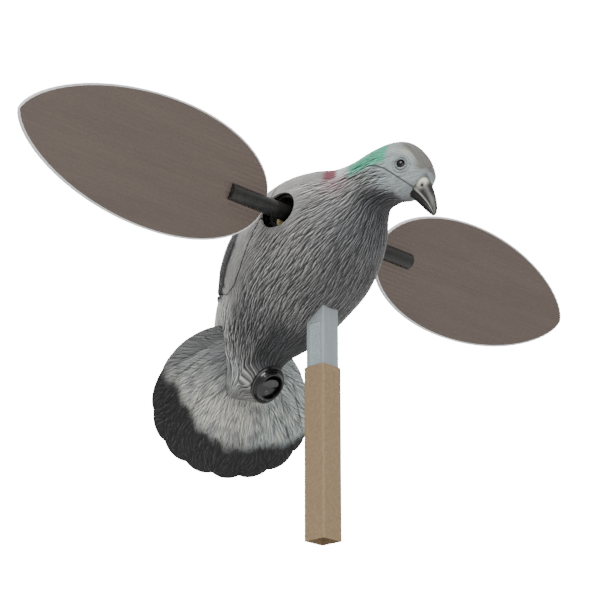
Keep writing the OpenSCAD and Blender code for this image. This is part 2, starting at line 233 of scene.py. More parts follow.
def noise(tree, scale, detail=4, rough=0.6, stretch=(1, 1, 1)):
    """Noise over the object's own coordinates, in metres, stretched along an axis."""
    place = add(tree, "ShaderNodeTexCoord")
    fit = add(tree, "ShaderNodeMapping")
    fit.inputs["Scale"].default_value = stretch
    tex = add(tree, "ShaderNodeTexNoise", Scale=scale, Detail=detail, Roughness=rough)
    tree.links.new(place.outputs["Object"], fit.inputs["Vector"])
    tree.links.new(fit.outputs["Vector"], tex.inputs["Vector"])
    return tex


def colour_ramp(tree, source, stops):
    node = tree.nodes.new("ShaderNodeValToRGB")
    line = node.color_ramp
    while len(line.elements) < len(stops):
        line.elements.new(0.5)
    for element, (place, colour) in zip(line.elements, stops):
        element.position = place
        element.color = (*colour, 1)
    tree.links.new(source, node.inputs["Fac"])
    return node


def add_bump(tree, bsdf, source, strength, distance):
    bump = add(tree, "ShaderNodeBump", Strength=strength, Distance=distance)
    tree.links.new(source, bump.inputs["Height"])
    tree.links.new(bump.outputs["Normal"], bsdf.inputs["Normal"])


def rough_from(tree, bsdf, source, low, high):
    node = add(tree, "ShaderNodeMapRange")
    node.inputs["To Min"].default_value = low
    node.inputs["To Max"].default_value = high
    tree.links.new(source, node.inputs["Value"])
    tree.links.new(node.outputs["Result"], bsdf.inputs["Roughness"])


def painted_plastic(name, rough_low, rough_high, grain=0.25):
    """Moulded plastic with airbrushed colours, painted shade and painted highlights from the paint layer,
    and a fine dry-brush grain.
    """
    mat, tree, bsdf = new_material(name)
    paint = add(tree, "ShaderNodeAttribute", attribute_name="paint")
    fine = noise(tree, 900, 3, 0.7)
    tone = colour_ramp(tree, fine.outputs["Fac"], [(0.25, (1 - grain,) * 3), (0.75, (1 + grain * 0.6,) * 3)])
    both = tree.nodes.new("ShaderNodeMix")
    both.data_type = "RGBA"
    both.blend_type = "MULTIPLY"
    both.inputs["Factor"].default_value = 1
    tree.links.new(paint.outputs["Color"], both.inputs["A"])
    tree.links.new(tone.outputs["Color"], both.inputs["B"])
    tree.links.new(both.outputs["Result"], bsdf.inputs["Base Color"])
    rough_from(tree, bsdf, noise(tree, 160, 3).outputs["Fac"], rough_low, rough_high)
    add_bump(tree, bsdf, noise(tree, 1400, 3).outputs["Fac"], 0.25, 0.0003)
    return mat


def speckled(name, dark, light, scale, rough, bump=0.2, metallic=0.0, stretch=(1, 1, 1), coat=0.0):
    """Plain moulded or metal surface: two close tones in a noise, with uneven gloss and grain."""
    mat, tree, bsdf = new_material(name)
    tex = noise(tree, scale, 5, 0.65, stretch)
    tone = colour_ramp(tree, tex.outputs["Fac"], [(0.32, dark), (0.68, light)])
    tree.links.new(tone.outputs["Color"], bsdf.inputs["Base Color"])
    bsdf.inputs["Metallic"].default_value = metallic
    bsdf.inputs["Coat Weight"].default_value = coat
    rough_from(tree, bsdf, noise(tree, scale * 2.3, 4, 0.6, stretch).outputs["Fac"], rough[0], rough[1])
    add_bump(tree, bsdf, noise(tree, scale * 4, 3, 0.6, stretch).outputs["Fac"], bump, 0.0002)
    return mat


# ---------------------------------------------------------------- camera, light, floor
def make_camera():
    data = bpy.data.cameras.new("camera")
    data.lens = 131.65
    data.sensor_width = 36
    data.clip_start = 0.05
    cam = bpy.data.objects.new("camera", data)
    cam.location = (-1.14967, -1.05518, -0.36988)
    cam.rotation_mode = "QUATERNION"
    cam.rotation_quaternion = Vector((0.6871, 0.6444, 0.3357)).to_track_quat("-Z", "Y")
    bpy.context.scene.collection.objects.link(cam)
    bpy.context.scene.camera = cam


def add_area(name, place, target, size, power):
    data = bpy.data.lights.new(name, "AREA")
    data.shape = "RECTANGLE"
    data.size, data.size_y = size
    data.energy = power
    lamp = bpy.data.objects.new(name, data)
    lamp.location = place
    lamp.rotation_mode = "QUATERNION"
    lamp.rotation_quaternion = (Vector(target) - Vector(place)).to_track_quat("-Z", "Y")
    bpy.context.scene.collection.objects.link(lamp)


FLOOR_HALF, FLOOR_Z = 6.0, -0.8
SURROUND_LIGHT, SURROUND_SEEN = 0.55, 16.5


def make_studio():
    """Soft light from the upper left and the front, a pale floor well below, and a white surround."""
    aim = (0, 0, 0.2)
    add_area("key", (-1.5, -0.7, 1.7), aim, (1.4, 1.4), 42)
    add_area("fill", (-0.6, -1.9, -0.1), aim, (1.6, 1.6), 13)
    add_area("back", (0.9, 1.5, 1.2), aim, (1.2, 1.2), 22)
    world = bpy.data.worlds.new("surround")
    world.use_nodes = True
    tree = world.node_tree
    plain = tree.nodes["Background"]
    plain.inputs["Color"].default_value = (1, 1, 1, 1)
    plain.inputs["Strength"].default_value = SURROUND_LIGHT
    seen = add(tree, "ShaderNodeBackground", Strength=SURROUND_SEEN)
    seen.inputs["Color"].default_value = (1, 1, 1, 1)
    path = tree.nodes.new("ShaderNodeLightPath")
    pick = tree.nodes.new("ShaderNodeMixShader")
    tree.links.new(path.outputs["Is Camera Ray"], pick.inputs["Fac"])
    tree.links.new(plain.outputs["Background"], pick.inputs[1])
    tree.links.new(seen.outputs["Background"], pick.inputs[2])
    tree.links.new(pick.outputs["Shader"], tree.nodes["World Output"].inputs["Surface"])
    bpy.context.scene.world = world
    mesh = bpy.data.meshes.new("floor")
    corners = [(-1, -1), (1, -1), (1, 1), (-1, 1)]
    mesh.from_pydata([(x * FLOOR_HALF, y * FLOOR_HALF, FLOOR_Z) for x, y in corners], [], [(0, 1, 2, 3)])
    mesh.materials.append(speckled("floor_pale", (0.86,) * 3, (0.9,) * 3, 3, (0.6, 0.8), 0.02))
    floor = bpy.data.objects.new("floor", mesh)
    bpy.context.scene.collection.objects.link(floor)


# ---------------------------------------------------------------- the bird's skin
SKIN_ROWS, SKIN_COLS = 380, 780
SKIN_STROKES = 17000


def skin_grid():
    u = even_rows(SECTIONS, SKIN_ROWS)[:, None] + np.zeros((1, SKIN_COLS))
    a = np.linspace(0, 360, SKIN_COLS, endpoint=False)[None] + np.zeros((SKIN_ROWS, 1))
    p = loft_points(SECTIONS, u, a)
    n, du, da = grid_normals(p, True)
    side = np.where(a > 180, 360 - a, a)
    return u, side, p, n, np.linalg.norm(du, axis=-1), np.linalg.norm(da, axis=-1)


def side_distance(y, z, points):
    """Distance in the YZ plane from a chain of points, and how far along it the foot lies."""
    best = np.full(y.shape, 1e9)
    place = np.zeros(y.shape)
    for k, (p, q) in enumerate(zip(points[:-1], points[1:])):
        d = q - p
        t = np.clip(((y - p[0]) * d[0] + (z - p[1]) * d[1]) / (d @ d), 0, 1)
        r = np.hypot(y - p[0] - t * d[0], z - p[1] - t * d[1])
        near = r < best
        best = np.where(near, r, best)
        place = np.where(near, k + t, place)
    return best, place


CHEEK = np.array([[-58, 268.5], [-66.5, 270.2], [-74.2, 267.7], [-81.1, 264], [-87.2, 258.9],
                  [-92.1, 254.4], [-95.8, 250.7], [-97.5, 248.5]])
# Folded wing tips on the back: their lower edge as (section, angle from the back line)
WING_EDGE_U = np.array([5.5, 5.9, 6.6, 7.8, 8.3, 8.8, 9.6])
WING_EDGE_A = np.array([52, 70, 77, 76, 73, 64, 38])


def wing_tip_mask(u, side):
    edge = np.interp(u, WING_EDGE_U, WING_EDGE_A, left=0, right=0)
    return ramp(side, 8, 13) * ramp(edge - side, 0, 1.6) * ramp(u, 5.4, 5.8)


def skin_relief(rng, u, side, p, step_u, step_a):
    """Feather strokes all over the body, larger on the flanks and belly, fine on the head."""
    relief = np.zeros(u.shape)
    hole_off = np.hypot(p[..., 1], p[..., 2] - AXIS_Z)
    head = ramp(u, 14.8, 16.4)
    smooth_back = ramp(78 - side, 0, 25) * ramp(u, 7, 9) * (1 - head)
    behind = ramp(p[..., 1], 12, 34) * ramp(110 - side, 0, 20) * ramp(u, 5, 7)
    strength = (1 - 0.72 * smooth_back) * (1 - 0.6 * behind) * (1 - 0.78 * head)
    strength *= 1 - 0.6 * ramp(76 - side, 0, 12) * ramp(6.5 - u, 0, 1)
    strength *= 0.45 + 0.55 * ramp(u, 1.2, 3.4)
    strength *= 1 - 0.55 * ramp(26 - hole_off, 0, 10)
    i, j = scatter(rng, step_u * step_a * (0.3 + strength), SKIN_STROKES)
    count = len(i)
    k = strength[i, j]
    length = rng.uniform(5, 15, count) * (0.4 + 0.6 * k)
    width = rng.uniform(0.26, 0.5, count) * (0.7 + 0.3 * k)
    tilt = rng.normal(0, 0.11, count)
    bend = rng.normal(0, 0.01, count)
    depth = rng.uniform(0.35, 1.2, count) * k
    engrave(relief, step_u, step_a, zip(i, j, length, width, tilt, bend, depth))
    return relief


def one_colour(shape, colour):
    return np.zeros(shape + (3,)) + colour


def body_colour_and_shade(u, side):
    """Slate body, lighter along the back and the rump and darker on the belly, vent and throat: partly the
    bird's own paint, partly painted light from above and painted shade underneath.
    """
    colour = one_colour(u.shape, srgb(120, 119, 118))
    # The back and the rump are lighter: partly the bird's own paint, partly painted light from above.
    colour = mix(colour, srgb(156, 155, 153), ramp(98 - side, 0, 30) * ramp(u, 5, 8))
    rump = ramp(106 - side, 0, 30) * ramp(7.6 - u, 0, 2.8) * ramp(u, 2.6, 4.6)
    colour = mix(colour, srgb(196, 196, 192), rump)
    # The belly, the spot beside it and the vent are darker: partly the bird's own paint, partly painted
    # shade underneath.
    colour = mix(colour, srgb(70, 70, 70), ramp(side, 112, 160) * ramp(u, 5, 9) * 0.8)
    colour = mix(colour, srgb(70, 71, 73), spot(u, side, 5.6, 118, 2.2, 16) * 0.7)
    vent = ramp(side, 116, 148) * ramp(7.8 - u, 0, 2.2) * ramp(u, 2.2, 3.2)
    colour = mix(colour, srgb(36, 37, 40), vent * 0.92)
    by_tail = ramp(126 - side, 0, 26) * ramp(4.4 - u, 0, 1.6)
    colour = mix(colour, srgb(158, 161, 160), by_tail * 0.85)
    # The throat and the neck's underside are darker: partly the bird's own paint, partly painted shade under
    # the head.
    throat = spot(u, side, 14.1, 160, 1.3, 38)
    colour = mix(colour, srgb(34, 34, 37), np.clip(throat * 1.2, 0, 0.95))
    return mix(colour, srgb(78, 79, 82), spot(u, side, 12.6, 160, 1.9, 44) * 0.7)


def head_colour(colour, mottle, u, side):
    """Pale mottled head with a brownish crown and forehead."""
    head = ramp(u, 14.6, 15.6) * ramp(158 - side, 0, 30)
    head = np.maximum(head, ramp(u, 15.6, 16.4) * ramp(196 - side, 0, 60))
    colour = mix(colour, srgb(158, 167, 167), head)
    colour = mix(colour, srgb(132, 142, 140), head * np.clip(0.35 * mottle, 0, 0.6))
    crown = ramp(62 - side, 0, 26) * ramp(u, 16.4, 17.6)
    forehead = ramp(u, 18.3, 19.3) * ramp(125 - side, 0, 50)
    colour = mix(colour, srgb(112, 109, 104), np.clip(crown + forehead, 0, 1) * 0.88)
    return mix(colour, srgb(186, 184, 160), spot(u, side, 17.75, 56, 0.5, 9) * 0.75)


def neck_colour(colour, ragged, u, side):
    """Green, white and wine-red patches with ragged edges, and a blush beside them."""
    jaw = spot(u, side, 14.9, 104, 0.9, 14) * np.clip(0.5 + ragged, 0, 1)
    colour = mix(colour, srgb(150, 166, 158), jaw * 0.7)
    shift = ragged * 0.12
    green = ramp(u + shift, 13.75, 14.2) * ramp(16.4 + shift - u, 0, 0.35)
    green *= ramp(90 + ragged * 8 - side, 0, 9)
    tone = one_colour(u.shape, srgb(48, 158, 124))
    tone = mix(tone, srgb(128, 208, 180), np.clip(ragged * 1.4, 0, 1))
    colour = mix(colour, tone, green * ramp(side, -40, 8))
    white = ramp(u + shift, 13.15, 13.4) * ramp(14.05 + shift - u, 0, 0.3)
    colour = mix(colour, srgb(205, 216, 212), white * ramp(76 - side + ragged * 6, 0, 12))
    wine = ramp(u + shift, 12.45, 12.8) * ramp(13.42 + shift - u, 0, 0.25)
    colour = mix(colour, srgb(120, 44, 60), wine * ramp(76 - side + ragged * 8, 0, 10) * 0.92)
    blush = spot(u, side, 13.2, 84, 0.8, 16) * np.clip(0.35 + ragged, 0, 1)
    return mix(colour, srgb(165, 98, 118), blush * 0.75)


def skin_paint(rng, u, side, cheek_off, relief, wing):
    """Airbrushed colours, then painted shade in the stroke cuts and painted highlights on their ridges."""
    colour = body_colour_and_shade(u, side)
    colour = head_colour(colour, soft_noise(rng, u.shape, 5), u, side)
    ragged = rng.normal(0, 1, u.shape)
    for _ in range(3):
        ragged = (ragged + np.roll(ragged, 1, 0) + np.roll(ragged, -1, 0)) / 3
    colour = neck_colour(colour, ragged, u, side)
    colour = mix(colour, srgb(28, 28, 30), wing)
    # Painted shade in the stroke cuts and painted highlights on their ridges, then random tone.
    shade = np.clip(1 - 0.74 * np.clip(-relief, 0, 1.4), 0.08, 1) * (1 + 1.6 * np.clip(relief, 0, 1))
    shade *= 1 + 0.09 * rng.normal(0, 1, u.shape) + 0.1 * soft_noise(rng, u.shape, 6)
    colour = np.clip(colour * shade[..., None], 0, 0.82)
    # Painted shade along the cheek crease.
    return mix(colour, srgb(40, 44, 46), np.exp(-((cheek_off / 0.55) ** 2)) * ramp(u, 14.2, 15))


def eye_place(p):
    """Height above the plane of the nearer eye, and distance from that eye's own axis."""
    away = np.abs(p) * [1, 0, 0] + p * [0, 1, 1] - EYE_AT
    height = away @ EYE_OUT
    return height, np.linalg.norm(away - height[..., None] * EYE_OUT, axis=-1)


def press_eyes(q):
    """Sinks the skin under each eye and raises two low lids round it."""
    height, off = eye_place(q)
    near = (off < 9) & (np.abs(height) < 8)
    lids = sum(rise * np.exp(-(((off - r) / wide) ** 2)) for rise, r, wide in LIDS)
    sink = ramp(3.15 - off, 0, 0.45)
    move = (lids + (EYE_FLOOR - height) * sink) * near
    out = EYE_OUT * np.where(q[..., 0:1] < 0, [-1, 1, 1], [1, 1, 1])
    return q + out * move[..., None], off, near


def inside_parting(y, z):
    """True where the saddle is: inside the outline closed high above the tail."""
    outline = np.concatenate([PARTING, [[120, 300]]])
    inside = np.zeros(y.shape, bool)
    for (y0, z0), (y1, z1) in zip(outline, np.roll(outline, -1, 0)):
        if z0 != z1:
            crosses = ((z0 > z) != (z1 > z)) & (y < y0 + (z - z0) * (y1 - y0) / (z1 - z0))
            inside ^= crosses
    return inside


def snap_to_parting(p, rows):
    """Moves chosen points onto the parting line, in the YZ plane."""
    for r in rows:
        best, foot = 1e9, None
        for a, b in zip(PARTING[:-1], PARTING[1:]):
            d = b - a
            t = np.clip(((p[r, 1:] - a) @ d) / (d @ d), 0, 1)
            q = a + t * d
            gap = np.linalg.norm(p[r, 1:] - q)
            if gap < best:
                best, foot = gap, q
        p[r, 1:] = foot


def edge_points(faces, removed):
    """Points that kept faces share with removed ones."""
    return np.intersect1d(np.unique(faces[~removed]), np.unique(faces[removed]))


MID_LINE = (SECTIONS[:, 0:2] + SECTIONS[:, 2:4]) / 2


def inward_way(x, y, z):
    """Direction of the wall at an open edge: along each hole, or towards the body's middle."""
    if abs(math.hypot(y, z - AXIS_Z) - FLANK_R) < 0.4 and abs(x) > 30:
        return Vector((-math.copysign(1, x), 0, 0))
    if abs(x) < POST_HALF + 0.3 and abs(y) < POST_HALF + 0.3 and z < 200:
        return Vector((0, 0, 1))
    if np.linalg.norm(np.array([x, y, z]) - SWITCH_AT) < 14:
        return Vector(-SWITCH_OUT)
    k = np.argmin(np.hypot(MID_LINE[:, 0] - y, MID_LINE[:, 1] - z))
    return Vector((-x, MID_LINE[k, 0] - y, MID_LINE[k, 1] - z)).normalized()


def wall_in(obj, depth):
    """Turns the open edges of a skin inward, so that its thickness shows."""
    bm = bmesh.new()
    bm.from_mesh(obj.data)
    edges = [e for e in bm.edges if len(e.link_faces) == 1]
    made = bmesh.ops.extrude_edge_only(bm, edges=edges)
    for v in [v for v in made["geom"] if isinstance(v, bmesh.types.BMVert)]:
        v.co += inward_way(*(v.co / MM)) * depth * MM
    for f in bm.faces:
        f.smooth = True
    bmesh.ops.recalc_face_normals(bm, faces=bm.faces[:])
    for e in bm.edges:
        if len(e.link_faces) == 2 and e.calc_face_angle(0) > 0.9:
            e.smooth = False
    bm.to_mesh(obj.data)
    bm.free()


PAD_R, PAD_EDGE, PAD_RISE, BUTTON_R = 18.0, 3.6, 0.6, 11.5
# The post's hole ends below this height, and the flank holes lie outside this X
POST_TOP, FLANK_X = 200, 30
# The saddle's skin shifts by these shares of the parting gap, along Y and Z
GAP_Y, GAP_Z = 0.9, 0.5


def skin_surface(rng):
    """Points and colours of the bird's surface, and which points lie in the switch's hole."""
    u, side, p, n, step_u, step_a = skin_grid()
    relief = skin_relief(rng, u, side, p, step_u, step_a)
    wing = wing_tip_mask(u, side)
    y, z = p[..., 1], p[..., 2]
    quill = np.abs(((side + 2.2 * (u - 7) ** 2) / 9.5) % 1 - 0.5) * 2
    cheek_off, _ = side_distance(y, z, CHEEK)
    part_off, _ = side_distance(y, z, PARTING)
    rim_off = np.minimum(part_off, np.abs(np.hypot(y, z - AXIS_Z) - FLANK_R))
    lift = 0.2 * np.clip(relief, -1.5, 1.2) + wing * (1.7 - 0.7 * ramp(quill, 0.8, 1))
    lift -= 0.45 * np.exp(-((cheek_off / 0.6) ** 2)) * ramp(u, 14.2, 15)
    lift *= ramp(rim_off, 0.3, 1.8)
    paint = skin_paint(rng, u, side, cheek_off, relief, wing)
    q, eye_off, by_eye = press_eyes(p + n * lift[..., None])
    # Painted shade in the two grooves round each eye, and in the socket round the eye itself.
    lid_groove_shade = np.exp(-(((eye_off - 4.7) / 0.5) ** 2)) + 0.6 * np.exp(-(((eye_off - 6.8) / 0.4) ** 2))
    paint = mix(paint, srgb(74, 80, 82), np.clip(lid_groove_shade, 0, 0.8) * by_eye)
    paint = mix(paint, srgb(24, 24, 25), ramp(3.35 - eye_off, 0, 0.4) * by_eye)
    # Painted shade along the gap of the parting line.
    paint = mix(paint, srgb(30, 30, 31), ramp(0.75 - part_off, 0, 0.45) * (u < 13))
    # A flat round pad carries the switch
    away = q - SWITCH_AT
    height = away @ SWITCH_OUT
    radial = np.linalg.norm(away - height[..., None] * SWITCH_OUT, axis=-1)
    near = (height > -14) & (y < 85) & (z < 160)
    pad = ramp(PAD_R - radial, 0, PAD_EDGE) * near
    q = q + SWITCH_OUT * ((PAD_RISE - height) * pad)[..., None]
    button = (radial < BUTTON_R) & near
    return q.reshape(-1, 3), paint.reshape(-1, 3), button.ravel()


def cut_holes(points, faces, button):
    """Faces inside the flank, post and switch holes; rim points move out to clean edges."""
    x, y, z = points.T
    flank_r = np.hypot(y, z - AXIS_Z)
    flank = (flank_r < FLANK_R) & (np.abs(x) > FLANK_X)
    post = (np.abs(x) < POST_HALF) & (np.abs(y) < POST_HALF) & (z < POST_TOP)
    hole = (flank | post | button)[faces].all(axis=1)
    saddle = inside_parting(y, z)[faces].all(axis=1)
    kept = np.unique(faces[~hole])
    ring = np.intersect1d(kept, np.where(flank)[0])
    scale = FLANK_R / flank_r[ring]
    points[ring, 1] *= scale
    points[ring, 2] = AXIS_Z + (points[ring, 2] - AXIS_Z) * scale
    ring = np.intersect1d(kept, np.where(post)[0])
    px, py = points[ring, 0], points[ring, 1]
    out_x = np.abs(px) > np.abs(py)
    points[ring, 0] = np.where(out_x, np.sign(px) * POST_HALF, px)
    points[ring, 1] = np.where(out_x, py, np.sign(py) * POST_HALF)
    snap_to_parting(points, edge_points(faces, saddle))
    return hole, saddle


def make_skin(material):
    """Body shell and lift-off saddle from one fine grid of the bird's surface."""
    points, paint, button = skin_surface(np.random.default_rng(11))
    faces = grid_faces(SKIN_ROWS, SKIN_COLS, True)
    hole, saddle = cut_holes(points, faces, button)
    vent_cap = [list(range(SKIN_COLS))[::-1]]
    start = (SKIN_ROWS - 1) * SKIN_COLS
    forehead_cap = [list(range(start, start + SKIN_COLS))]
    shell_faces = [faces[~hole & ~saddle], vent_cap, forehead_cap]
    shell = make_object("body_skin", points, shell_faces, material, paint)
    top = make_object("saddle_skin", points, [faces[~hole & saddle]], material, paint)
    for v in top.data.vertices:
        v.co.y += PARTING_GAP * MM * GAP_Y
        v.co.z += PARTING_GAP * MM * GAP_Z
    wall_in(shell, SHELL_WALL)
    wall_in(top, SHELL_WALL)
    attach(shell, "decoy")
    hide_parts("body_shell")
    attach(top, "saddle")
    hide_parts("back_saddle")


def make_beak(material):
    """Black bill with a pale swollen cere, painted shade in the gape line and the dark nostrils, and painted
    highlights along its edge and ridge.
    """
    rows, cols = 150, 120
    u = np.linspace(0, len(BEAK) - 1, rows)[:, None] + np.zeros((1, cols))
    a = np.linspace(0, 360, cols, endpoint=False)[None] + np.zeros((rows, 1))
    p = loft_points(BEAK, u, a)
    n, _, _ = grid_normals(p, True)
    side = np.where(a > 180, 360 - a, a)
    gape_at = 122 - 6 * u
    gape = np.exp(-(((side - gape_at) / 4.5) ** 2))
    cere = np.exp(-(((u - 1.44) / 0.27) ** 2 + ((side - 48) / 30) ** 2))
    nostril = np.exp(-(((u - 1.6) / 0.15) ** 2 + ((side - 62) / 13) ** 2))
    edge = np.exp(-(((side - gape_at + 15) / 5) ** 2)) * ramp(u, 0.9, 1.6)
    fade = ramp(4.6 - u, 0, 0.8)
    lift = 1.1 * cere - 0.5 * gape * fade - nostril + 0.2 * edge
    colour = one_colour(u.shape, srgb(38, 37, 36))
    # Painted highlights along the upper mandible's edge and on its ridge.
    colour = mix(colour, srgb(172, 172, 164), edge * 0.85)
    colour = mix(colour, srgb(128, 126, 120), np.exp(-(((side - 34) / 20) ** 2)) * ramp(u, 2.3, 3.2) * 0.6)
    cheek = ramp(1.15 - u, 0, 0.5) * ramp(gape_at - 4 - side, 0, 12)
    colour = mix(colour, srgb(168, 175, 176), cheek)
    colour = mix(colour, srgb(168, 175, 176), ramp(0.9 - u, 0, 0.5) * ramp(side, gape_at + 4, gape_at + 14))
    colour = mix(colour, srgb(226, 226, 212), np.clip(cere * 1.5, 0, 1))
    # Painted shade in the nostrils and along the gape line.
    colour = mix(colour, srgb(12, 12, 12), np.clip(nostril * 1.2 + gape * 0.9 * ramp(u, 0.1, 0.5), 0, 1))
    points = (p + n * lift[..., None]).reshape(-1, 3)
    caps = [list(range(cols))[::-1]], [list(range((rows - 1) * cols, rows * cols))]
    beak = make_object("beak", points, [grid_faces(rows, cols, True), *caps], material,
                       colour.reshape(-1, 3))
    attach(beak, "decoy")


# ---------------------------------------------------------------- tail fan
TAIL_W, TAIL_T, TAIL_MID, TAIL_UP, TAIL_LOW, TAIL_ROOT = 165.0, 2.6, 8.0, 66.0, 52.0, -57.5
TAIL_CAMBER = 3.5
FEATHERS = 12
TAIL_STROKES = 5200
FAN_FROM = -52.0
# Painted shadow lines along quill creases on the fan, from (x, s) to (x, s)
QUILL_SHADOWS = [(-14, -37, -38, -18), (-12, -22, -33, -5), (-11, -8.5, -23, 5), (44, -4.5, 51, 19),
          (47, -15, 67, 17.5), (56, -26, 79, 7), (-38, -30, -70, 0), (-30, 2, -44, 22)]
# Inner edge of the black band: s over x
BAND_X = [-90, -80, -70, -60, -51, -38, -30, -13, 3, 26, 44, 64, 79, 88]
BAND_S = [-12, -7, -1, 1, 11, 17, 26, 30, 34.5, 32, 26, 21, 10, 4]
OUTER_QUILL = np.array([[-23, -48], [-68, -12]])


def tail_reach(s):
    """Distance from the fan's widest line, as a share of its length that way."""
    return np.where(s < TAIL_MID, (TAIL_MID - s) / TAIL_UP, (s - TAIL_MID) / TAIL_LOW)


def tail_half(s):
    return TAIL_W / 2 * np.sqrt(np.clip(1 - tail_reach(s) ** 2, 0, 1))


def tail_colour_and_shade(soft, x, s, reach, relief, quill, shaft, groove):
    """Grey feathers with cream tips inside a black band, with painted shade in the cuts, grooves and quill
    creases and painted highlights on the ridges and in warm-white patches.
    """
    colour = one_colour(x.shape, srgb(168, 171, 169))
    colour = mix(colour, srgb(138, 141, 142), ramp(62 - reach, 0, 30))
    colour = mix(colour, srgb(214, 213, 200), spot(x, s, -6, 12, 44, 16) * 0.8)
    colour = mix(colour, srgb(176, 192, 190), ramp(x, 20, 44) * 0.6)
    colour = mix(colour, srgb(132, 134, 134), np.clip(soft * 0.45, 0, 0.75))
    # Painted highlights: warm-white patches on the upper part of the fan.
    colour = mix(colour, srgb(216, 215, 202), np.clip(-soft * 0.3, 0, 0.5) * ramp(s, -30, 0))
    run = OUTER_QUILL[1] - OUTER_QUILL[0]
    above = (x - OUTER_QUILL[0, 0]) * run[1] - (s - OUTER_QUILL[0, 1]) * run[0]
    outer = ramp(-above / np.linalg.norm(run), -0.6, 1.2) * ramp(-x, 5, 12)
    colour = mix(colour, srgb(112, 114, 114), outer * 0.85)
    # Painted shadow along the quill creases.
    colour = mix(colour, srgb(82, 86, 88), np.clip(quill, 0, 1) * 0.8)
    colour = mix(colour, srgb(126, 130, 130), shaft * 0.5)
    # Painted shade in the grooves between the feathers.
    colour = mix(colour, srgb(96, 98, 99), groove * 0.6)
    band_at = np.interp(x, BAND_X, BAND_S) + 1.1 * soft
    band = ramp(s - band_at + 3 * np.clip(relief, -1, 1), -3.5, 4.5)
    # Painted shade in the barb cuts and painted highlights on their ridges.
    shade = np.clip(1 - 0.55 * np.clip(-relief, 0, 1.4), 0.12, 1) * (1 + 0.6 * np.clip(relief, 0, 1))
    colour = np.clip(colour * shade[..., None], 0, 0.85)
    # The black band, with painted shade in the grooves, darker shafts and painted highlights on the barb
    # ridges.
    dark = one_colour(x.shape, srgb(25, 25, 26))
    dark = dark * (1 - 0.5 * np.clip(groove + 0.6 * shaft, 0, 1))[..., None]
    dark = np.clip(dark * (1 + 4.5 * np.clip(relief, -0.2, 1.2))[..., None], 0.003, 0.2)
    return colour + (dark - colour) * band[..., None]


def make_tail(material):
    """Fan of twelve overlapping feathers with shafts, barbs and scalloped black tips."""
    rng = np.random.default_rng(5)
    rows, cols = 260, 380
    low, high = TAIL_ROOT, TAIL_MID + TAIL_LOW - 0.4
    t = np.linspace(0, 1, rows)
    s_line = low + (high - low) * (0.25 * (1 - np.cos(np.pi * t)) / 2 + 0.75 * (1 - (1 - t) ** 1.35))
    s = s_line[:, None] + np.zeros((1, cols))
    v = np.sin(np.linspace(-np.pi / 2, np.pi / 2, cols) * 0.94) / np.sin(np.pi / 2 * 0.94)
    x = v[None] * tail_half(s)
    angle = np.degrees(np.arctan2(x, s - FAN_FROM))
    reach = np.hypot(x, s - FAN_FROM)
    rim = np.sqrt(np.clip((x / (TAIL_W / 2)) ** 2 + tail_reach(s) ** 2, 0, 1))
    wide = 180 / FEATHERS
    cell = (angle + 90) / wide
    along_cell = cell % 1 - 0.5
    scallop = 1 - 0.02 * np.abs(2 * along_cell) ** 2.2 * ramp(rim, 0.75, 1) * ramp(s, -20, 0)
    x, s = x * scallop, FAN_FROM + (s - FAN_FROM) * scallop
    # Each feather laps over the next one outward
    lap = np.where(angle < 0, along_cell, -along_cell)
    spread = ramp(reach, 18, 60)
    height = 0.75 * lap * spread
    shaft = np.exp(-((along_cell * np.radians(wide) * reach / 0.75) ** 2)) * ramp(reach, 25, 45)
    height += 0.35 * shaft
    groove = ramp(np.abs(along_cell), 0.46, 0.5) * spread
    height -= 0.35 * groove
    base = np.stack([x, s, 0 * x], -1)
    _, du, da = grid_normals(base, False)
    step_u, step_a = np.linalg.norm(du, axis=-1) + 1e-3, np.linalg.norm(da, axis=-1) + 1e-3
    relief = np.zeros(x.shape)
    i, j = scatter(rng, step_u * step_a, TAIL_STROKES)
    count = len(i)
    out = np.where(along_cell[i, j] > 0, 1, -1) * 0.16
    tilt = np.radians(angle[i, j]) + out + rng.normal(0, 0.2, count)
    engrave(relief, step_u, step_a,
            zip(i, j, rng.uniform(5, 19, count), rng.uniform(0.28, 0.55, count), tilt,
                rng.normal(0, 0.012, count), rng.uniform(0.15, 0.9, count)), wrap=False)
    height += 0.14 * np.clip(relief, -1.5, 1)
    quill = np.zeros(x.shape)
    for x0, s0, x1, s1 in QUILL_SHADOWS:
        off, foot = side_distance(x, s, np.array([[x0, s0], [x1, s1]]))
        bow = 0.28 * np.sin(foot * 9 + x0)
        quill = np.maximum(quill, np.exp(-(((off + bow) / 0.75) ** 2)) * ramp(1.02 - foot, 0, 0.2))
    height -= 0.3 * quill
    colour = tail_colour_and_shade(soft_noise(rng, x.shape, 7), x, s, reach, relief, quill, shaft, groove)
    bend = TAIL_CAMBER * (np.abs(x) / (TAIL_W / 2)) ** 2

    def place(off):
        return (TAIL_AT + x[..., None] * np.array([1, 0, 0]) + s[..., None] * TAIL_DOWN
                + (bend + off)[..., None] * TAIL_FRONT)

    thin = TAIL_T / 2 * (0.35 + 0.65 * ramp(1 - rim, 0, 0.08))
    front = place(thin + height)
    back = place(-thin + 0.6 * height)[:, ::-1]
    ring = np.concatenate([front, back], 1)
    paint = np.concatenate([colour, colour[:, ::-1]], 1)
    last = (rows - 1) * 2 * cols
    caps = [list(range(2 * cols))], [list(range(last, last + 2 * cols))[::-1]]
    faces = grid_faces(rows, 2 * cols, True)[:, ::-1]
    tail = make_object("tail_feathers", ring.reshape(-1, 3), [faces, *caps], material,
                       paint.reshape(-1, 3))
    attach(tail, "decoy")
    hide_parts("tail_fan")


# ---------------------------------------------------------------- wings
BLADE_ROOT, BLADE_TIP, BLADE_CHORD, BLADE_T = 64.0, 300.0, 95.0, 3.2
BLADE_A, BLADE_B = 0.47, 0.62
FLUTE, FLUTE_DEPTH = 3.3, 0.32
